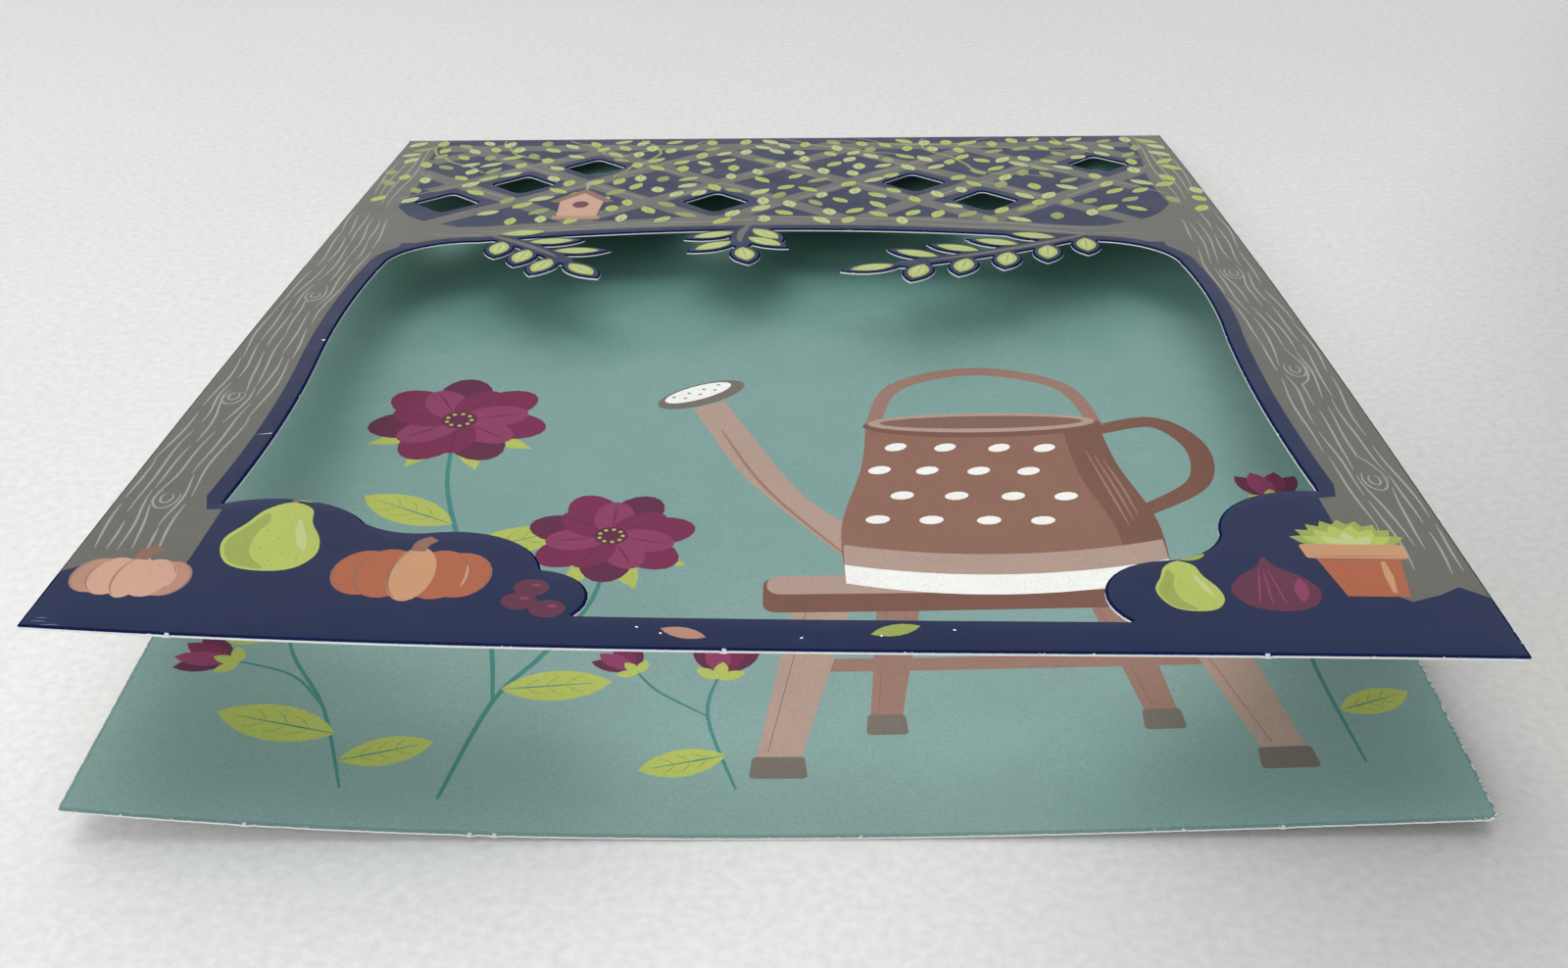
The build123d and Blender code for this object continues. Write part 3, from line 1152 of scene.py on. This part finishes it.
def outer_point(x, s, depth):
    """A place on the sheet, that deep below its outer face, in millimetres."""
    u = x / half_card
    if s >= 0:
        bow_radius = panel_length / (2 * cover_bow)
        angle = slope_at_fold - s / bow_radius
        rise = curl(u, cover_left_lift, cover_right_lift, cover_s_bend)
        lift = (s / panel_length) ** curl_power * rise - depth
        y = fold_y + fold_outer_radius * math.sin(slope_at_fold)
        y += lift * math.sin(angle) - bow_radius * (math.sin(slope_at_fold) - math.sin(angle))
        z = fold_outer_radius * (1 + math.cos(slope_at_fold))
        z += lift * math.cos(angle) + bow_radius * (math.cos(angle) - math.cos(slope_at_fold))
        return x, y, z
    if s > -fold_run:
        angle = math.pi / 2 - slope_at_fold + s / fold_run * (math.pi - slope_at_fold)
        radius = fold_outer_radius - depth
        return x, fold_y + radius * math.cos(angle), fold_outer_radius + radius * math.sin(angle)
    v = fold_outer_radius - fold_run - s
    along = max(0.0, (v - back_flat_strip) / (card_height - back_flat_strip))
    lift = along**curl_power * curl(u, back_left_lift, back_right_lift, back_s_bend)
    return x, card_height / 2 - v, lift + depth


def pressed(gap, depth, reach):
    """How far a face falls at that gap from a cut edge."""
    return depth * max(0.0, 1 - gap / reach) ** 2


def outer_press(s):
    if s < 0:
        return under_press
    return far_press if s < near_from else near_press


def key(place):
    return round(float(place[0]), 4), round(float(place[1]), 4)


def painted_mesh(points, faces, ink_of, finish_of, wear):
    """The card's mesh, with an ink and a finish for each face and the edge's wear at each point."""
    mesh = bpy.data.meshes.new("printed_card")
    mesh.from_pydata([(x * mm, y * mm, z * mm) for x, y, z in points], [], faces)
    mesh.polygons.foreach_set("material_index", finish_of)
    table = [colour_of(*colour) for colour in inks.values()]
    shades = [share for face, name in zip(faces, ink_of) for _ in face for share in table[name]]
    mesh.attributes.new("ink", "FLOAT_COLOR", "CORNER").data.foreach_set("color", shades)
    mesh.attributes.new("edge", "FLOAT", "POINT").data.foreach_set("value", wear)
    mesh.shade_smooth()
    mesh.set_sharp_from_angle(angle=math.radians(35))
    mesh.validate()
    mesh.update()
    return mesh


def sheet_mesh():
    """One closed mesh: both faces of the sheet and the cut edge between them."""
    rng = random.Random(3)
    cuts = [worked_loop(loop, rng) for loop in cut_loops()]
    outer_verts, outer_faces, outer_inks, outer_finish = outer_face(cuts)
    cuts = loops(outer_verts, outer_faces)
    inner_verts, inner_faces, inner_inks, inner_finish = inner_face(cuts)
    outer_gaps = edge_gaps(outer_verts, cuts)
    inner_gaps = edge_gaps(inner_verts, [max(cuts, key=len)])
    points = []
    for (x, s), gap in zip(outer_verts, outer_gaps):
        points.append(outer_point(x, s, pressed(gap, *outer_press(s))))
    for (x, s), gap in zip(inner_verts, inner_gaps):
        fall = pressed(gap, *inner_press) if s < -fold_run else 0.0
        points.append(outer_point(x, s, sheet_thickness - fall))
    first_inner = len(outer_verts)
    twin = {key(place): first_inner + i for i, place in enumerate(inner_verts)}
    walls = []
    for a, b in rim(outer_faces).items():
        walls.append((a, b, twin[key(outer_verts[b])], twin[key(outer_verts[a])]))
    faces = outer_faces[:, ::-1].tolist() + (inner_faces + first_inner).tolist() + walls
    ink_of = outer_inks.tolist() + inner_inks.tolist() + [ink_number["bare"]] * len(walls)
    finish_of = outer_finish.tolist() + inner_finish.tolist() + [finish_number["cut_edge"]] * len(walls)
    wear = np.interp(outer_gaps + inner_gaps, wear_stops, wear_shares).tolist()
    return painted_mesh(points, faces, ink_of, finish_of, wear)


# Materials. Sizes and depths are in millimetres.
coat_ior = 1.2
coat_roughness = (0.34, 0.42)
card_roughness = 0.82
card_ior = 1.4
crushed_roughness = 0.7
fibre_roughness = 0.95
stock_roughness = 0.7
bare_colour = colour_of(232, 232, 228)
# The wash's darker teal, part print and part painted shade under the cover and beside its posts
wash_and_shade_colour = colour_of(100, 144, 134)
# Tints for the rolled edge band, crushed on the cover and soaked on the back panel; each is part real and
# part painted shade of the roll
crushed_and_shaded_tint = (0.4, 0.45, 0.75, 1.0)
soaked_and_shaded_tint = (0.5, 0.55, 0.52, 1.0)
fleck_size = 0.5
fleck_level = 0.69
fleck_zone = (59.5, 63.2)
fleck_fade = 0.12


class Nodes:
    """A tree of shader nodes. A number given to an input is set on its socket, and a socket is linked."""

    def __init__(self, tree, place):
        tree.nodes.clear()
        self.tree = tree
        self.place = self.node("ShaderNodeTexCoord").outputs[place]

    def node(self, kind, *values, settings=None, **inputs):
        """A new node, with its inputs in order or by name, where _ stands for a space."""
        made = self.tree.nodes.new(kind)
        for name, value in (settings or {}).items():
            setattr(made, name, value)
        given = list(zip(made.inputs, values))
        given += [(made.inputs[name.replace("_", " ")], value) for name, value in inputs.items()]
        for socket, value in given:
            if isinstance(value, bpy.types.NodeSocket):
                self.tree.links.new(value, socket)
            else:
                socket.default_value = value
        return made

    def attribute(self, name, output):
        return self.node("ShaderNodeAttribute", settings={"attribute_name": name}).outputs[output]

    def noise(self, size, detail=3.0, rough=0.55):
        """Noise with features about that size."""
        values = {"Scale": 1000 / size, "Detail": detail, "Roughness": rough}
        return self.node("ShaderNodeTexNoise", Vector=self.place, **values).outputs["Fac"]

    def span(self, value, low, high, to_low=0.0, to_high=1.0, unit=1.0, kind="LINEAR"):
        """A value's way from low to high, given in that unit."""
        ends = {"From_Min": low * unit, "From_Max": high * unit, "To_Min": to_low, "To_Max": to_high}
        settings = {"interpolation_type": kind}
        return self.node("ShaderNodeMapRange", Value=value, settings=settings, **ends).outputs["Result"]

    def maths(self, operation, a, b=0.0):
        return self.node("ShaderNodeMath", a, b, settings={"operation": operation}).outputs["Value"]

    def measure(self, operation, vector):
        """The place's dot product with a vector, or its distance from it."""
        settings = {"operation": operation}
        return self.node("ShaderNodeVectorMath", self.place, vector, settings=settings).outputs["Value"]

    def mixed(self, blend, share, under, over):
        settings = {"blend_type": blend}
        return self.node("ShaderNodeMixRGB", share, under, over, settings=settings).outputs["Color"]

    def mottled(self, colour, size, low, high):
        """A colour made unevenly lighter and darker."""
        return self.mixed("MULTIPLY", 1.0, colour, self.span(self.noise(size), 0.3, 0.7, low, high))

    def bump(self, size, detail, strength, depth, rough=0.55):
        height = self.noise(size, detail, rough)
        made = self.node("ShaderNodeBump", Height=height, Strength=strength, Distance=depth * mm)
        return made.outputs["Normal"]

    def surface(self, **inputs):
        return self.node("ShaderNodeBsdfPrincipled", **inputs).outputs["BSDF"]

    def either(self, share, first, second):
        return self.node("ShaderNodeMixShader", share, first, second).outputs["Shader"]

    def seen_share(self):
        """One for rays that look straight, in a mirror or through glass, and none for those that light."""
        rays = self.node("ShaderNodeLightPath").outputs
        share = self.maths("MAXIMUM", rays["Is Camera Ray"], rays["Is Glossy Ray"])
        return self.maths("MAXIMUM", share, rays["Is Transmission Ray"])


def material(name, look):
    """A material with the surface that a look makes of its nodes."""
    made = bpy.data.materials.new(name)
    made.use_nodes = True
    nodes = Nodes(made.node_tree, "Object")
    nodes.node("ShaderNodeOutputMaterial", look(nodes))
    return made


def edge_wear(nodes, colour, tint, more_right, reach):
    """Darkens the ink where the die rolled it over, as crushed ink and as painted shade of the rolled-over
    edge, and breaks it into bare flecks at the very edge.
    """
    edge = nodes.attribute("edge", "Fac")
    rolled = nodes.mixed("MULTIPLY", nodes.span(edge, 0.0, 0.6, 0.0, 0.5), colour, tint)
    side = nodes.node("ShaderNodeSeparateXYZ", nodes.place).outputs["X"]
    level = nodes.span(side, *fleck_zone, fleck_level, fleck_level - more_right, mm)
    fleck = nodes.maths("GREATER_THAN", nodes.noise(fleck_size, 2.0), level)
    fleck = nodes.maths("MULTIPLY", fleck, nodes.span(edge, reach, reach + fleck_fade))
    return nodes.mixed("MIX", fleck, rolled, bare_colour)


def coated_print(nodes):
    """Ink under a satin coating."""
    colour = nodes.mottled(nodes.attribute("ink", "Color"), 0.35, 0.95, 1.05)
    colour = nodes.mottled(colour, 14.0, 0.96, 1.04)
    gloss = nodes.span(nodes.noise(6.0), 0.3, 0.7, *coat_roughness)
    grit = nodes.bump(0.4, 4.0, 0.35, 0.006)
    return nodes.surface(Base_Color=colour, Roughness=gloss, IOR=coat_ior, Normal=grit)


def rolled_print(nodes):
    """The same ink where the die rolled it over a cut edge and crushed its coating dull."""
    colour = nodes.mottled(nodes.attribute("ink", "Color"), 0.35, 0.92, 1.05)
    colour = edge_wear(nodes, colour, crushed_and_shaded_tint, 0.04, 0.78)
    return nodes.surface(Base_Color=colour, Roughness=crushed_roughness, Specular_IOR_Level=0.0)


def soaked_ink(nodes, colour):
    """Ink soaked into uncoated card."""
    colour = nodes.mottled(colour, 0.28, 0.9, 1.08)
    colour = nodes.mottled(colour, 9.0, 0.97, 1.03)
    colour = edge_wear(nodes, colour, soaked_and_shaded_tint, 0.18, 0.63)
    return nodes.surface(Base_Color=colour, Roughness=card_roughness, IOR=card_ior, Normal=tooth(nodes, 0.5))


def tooth(nodes, strength):
    """The fine tooth of uncoated card."""
    return nodes.bump(0.32, 5.0, strength, 0.02, 0.7)


def uncoated_print(nodes):
    return soaked_ink(nodes, nodes.attribute("ink", "Color"))


# The teal ground darkened by the wash, which is part print and part painted shade
def washed_and_shaded_ground(nodes):
    colour = nodes.attribute("ink", "Color")
    return soaked_ink(nodes, nodes.mixed("MIX", wash_and_shade_share(nodes), colour, wash_and_shade_colour))


def wash_and_shade_share(nodes):
    """The ground's soft darker wash, part print and part painted shade: along the top under the cover, down
    the sides beside its posts, and a cloud low on the right.
    """
    axes = nodes.node("ShaderNodeSeparateXYZ", nodes.place).outputs
    cloud = nodes.maths("SUBTRACT", nodes.noise(26.0), 0.5)

    def clouded(value, swing):
        return nodes.maths("ADD", value, nodes.maths("MULTIPLY", cloud, swing * mm))

    def along_y(low, high, most=1.0):
        return nodes.span(axes["Y"], low, high, 0.0, most, mm)

    top = nodes.maths("MULTIPLY", nodes.span(clouded(axes["Y"], 60), 0, 22, unit=mm), 0.85)
    out = nodes.maths("ABSOLUTE", nodes.maths("ADD", axes["X"], -2 * mm))
    sides_share = nodes.maths("MULTIPLY", nodes.span(clouded(out, 26), 45, 58, unit=mm), along_y(-52, -20))
    right = nodes.maths("SUBTRACT", axes["X"], 34 * mm)
    low = nodes.span(clouded(right, 34), -16, -6, unit=mm)
    share = nodes.maths("MAXIMUM", top, nodes.maths("MULTIPLY", sides_share, 0.6))
    share = nodes.maths("MAXIMUM", share, along_y(-60, -36, 0.3))
    return nodes.maths("MAXIMUM", share, nodes.maths("MULTIPLY", low, along_y(-68, -74, 0.16)))


def cut_edge(nodes):
    """The bare fibre of the card's cut edge."""
    colour = nodes.mottled(nodes.attribute("ink", "Color"), 0.3, 0.9, 1.04)
    fibres = nodes.bump(0.16, 4.0, 0.6, 0.03)
    return nodes.surface(Base_Color=colour, Roughness=fibre_roughness, Normal=fibres)


def plain_stock(nodes):
    """The white, unprinted sides of the card."""
    colour = nodes.mottled(nodes.attribute("ink", "Color"), 0.5, 0.97, 1.02)
    return nodes.surface(Base_Color=colour, Roughness=stock_roughness, Normal=tooth(nodes, 0.3))


finishes = {
    "coated_print": coated_print,
    "rolled_print": rolled_print,
    "washed_and_shaded_ground": washed_and_shaded_ground,
    "uncoated_print": uncoated_print,
    "cut_edge": cut_edge,
    "plain_stock": plain_stock,
}
finish_number = {name: i for i, name in enumerate(finishes)}

# The floor: painted light along depth_way and painted shade along shade_way in millimetres, and its fade in
# metres
floor_size = 8.0
floor_drop = 0.02
# Painted light: the floor is lighter towards the card's front and darker far behind it
floor_painted_lit = colour_of(225, 224, 221)
floor_painted_dim = colour_of(210, 209, 206)
depth_way = (0.362, 0.932, 0.0)
depth_reach = (-100, 170)
# Painted shade: a soft shadow darkens the floor to the right of the card and towards the front
floor_shade = (0.73, 0.73, 0.715, 1.0)
shade_way = (0.871, -0.491, 0.0)
shade_reach = (45, 104)
fade_reach = (0.3, 0.8)
speck_level = 0.815
speck_shade = (0.7, 0.7, 0.7, 1.0)
backdrop = colour_of(226, 227, 228)

# The light from all round, by how far up it comes from, with a brighter patch behind the card
sky_horizon = (0.84, 0.88, 0.97, 1.0)
sky_low = (0.095, 0.11, 0.135, 1.0)
sky_high = (0.66, 0.71, 0.83, 1.0)
low_reach = (0.05, 0.28)
high_reach = (0.5, 1.0)
patch_colour = (2.24, 2.17, 2.06, 1.0)
patch_way = (-0.06, 0.64, 0.766)
patch_reach = (0.75, 1.0)

# Lamps turned to the card: name, place and size in metres, watts, tint
warm_tint = (1.0, 0.985, 0.95)
cool_tint = (0.96, 0.98, 1.0)
lamps = [
    ("overhead", (-0.14, -0.1, 0.85), (0.6, 0.6), 2.0, warm_tint),
    ("front", (-0.45, -0.8, 0.5), (0.7, 0.5), 3.7, cool_tint),
    ("left", (-0.8, 0.3, 0.45), (0.6, 0.4), 0.9, warm_tint),
]

# The photograph's camera: pitch is down from level, yaw to the right, roll to the left
lens = 43.67
sensor_width = 36.0
camera_place = (1.82, -218.44, 112.30)
yaw, pitch, roll = -0.0081, 0.5283, -0.0102


def floor_paper(nodes):
    """Pale paper with painted light, lighter towards the front, and a painted soft shade at the right, which
    fades far away into the backdrop's colour.
    """
    depth = nodes.span(nodes.measure("DOT_PRODUCT", depth_way), *depth_reach, unit=mm)
    colour = nodes.mixed("MIX", depth, floor_painted_lit, floor_painted_dim)
    shade = nodes.span(nodes.measure("DOT_PRODUCT", shade_way), *shade_reach, unit=mm, kind="SMOOTHSTEP")
    colour = nodes.mixed("MULTIPLY", shade, colour, floor_shade)
    colour = nodes.mottled(colour, 60.0, 0.99, 1.01)
    colour = nodes.mottled(colour, 1.1, 0.935, 1.065)
    speck = nodes.maths("GREATER_THAN", nodes.noise(1.6, 1.0), speck_level)
    colour = nodes.mixed("MULTIPLY", speck, colour, speck_shade)
    paper = nodes.surface(Base_Color=colour, Roughness=0.8, Normal=nodes.bump(0.9, 5.0, 0.5, 0.1, 0.65))
    glow = nodes.node("ShaderNodeEmission", Color=backdrop, Strength=1.0).outputs["Emission"]
    far = nodes.span(nodes.measure("DISTANCE", (0.0, 0.0, 0.0)), *fade_reach)
    return nodes.either(nodes.maths("MULTIPLY", far, nodes.seen_share()), paper, glow)


def add_floor():
    bpy.ops.mesh.primitive_plane_add(size=floor_size, location=(0, 0, -floor_drop * mm))
    floor = bpy.context.object
    floor.name = "floor"
    floor.data.materials.append(material("floor_paper", floor_paper))


def add_world():
    """Soft light from all round: pale at the horizon, dim above it, brighter overhead and behind."""
    world = bpy.data.worlds.new("studio")
    bpy.context.scene.world = world
    world.use_nodes = True
    nodes = Nodes(world.node_tree, "Generated")
    height = nodes.node("ShaderNodeSeparateXYZ", nodes.place).outputs["Z"]
    sky = nodes.mixed("MIX", nodes.span(height, *low_reach), sky_horizon, sky_low)
    sky = nodes.mixed("MIX", nodes.span(height, *high_reach), sky, sky_high)
    patch = nodes.span(nodes.measure("DOT_PRODUCT", patch_way), *patch_reach)
    sky = nodes.mixed("MIX", patch, sky, patch_colour)
    light = nodes.node("ShaderNodeBackground", Color=sky, Strength=1.0).outputs["Background"]
    seen = nodes.node("ShaderNodeBackground", Color=backdrop, Strength=1.0).outputs["Background"]
    nodes.node("ShaderNodeOutputWorld", nodes.either(nodes.seen_share(), light, seen))


def add_lamp(name, place, size, watts, tint):
    lamp = bpy.data.lights.new(name, "AREA")
    lamp.shape = "RECTANGLE"
    lamp.size, lamp.size_y = size
    lamp.energy = watts
    lamp.color = tint
    thing = bpy.data.objects.new(name, lamp)
    thing.location = place
    thing.rotation_euler = (-Vector(place)).to_track_quat("-Z", "Y").to_euler()
    bpy.context.collection.objects.link(thing)


def add_camera():
    forward = Vector((math.sin(yaw) * math.cos(pitch), math.cos(yaw) * math.cos(pitch), -math.sin(pitch)))
    level = Vector((math.cos(yaw), -math.sin(yaw), 0))
    over = level.cross(forward)
    right = math.cos(roll) * level + math.sin(roll) * over
    up = math.cos(roll) * over - math.sin(roll) * level
    camera = bpy.data.cameras.new("camera")
    camera.sensor_fit = "HORIZONTAL"
    camera.sensor_width = sensor_width
    camera.lens = lens
    camera.clip_start = 0.005
    thing = bpy.data.objects.new("camera", camera)
    turn = Matrix((right, up, -forward)).transposed().to_4x4()
    thing.matrix_world = Matrix.Translation(Vector(camera_place) * mm) @ turn
    bpy.context.collection.objects.link(thing)
    bpy.context.scene.camera = thing


card = bpy.data.objects.new("printed_card", sheet_mesh())
bpy.context.collection.objects.link(card)
for name, look in finishes.items():
    card.data.materials.append(material(name, look))
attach(card, "root")
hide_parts("folded_card")

add_floor()
add_world()
for lamp_values in lamps:
    add_lamp(*lamp_values)
add_camera()
bpy.context.scene.view_settings.view_transform = "Standard"
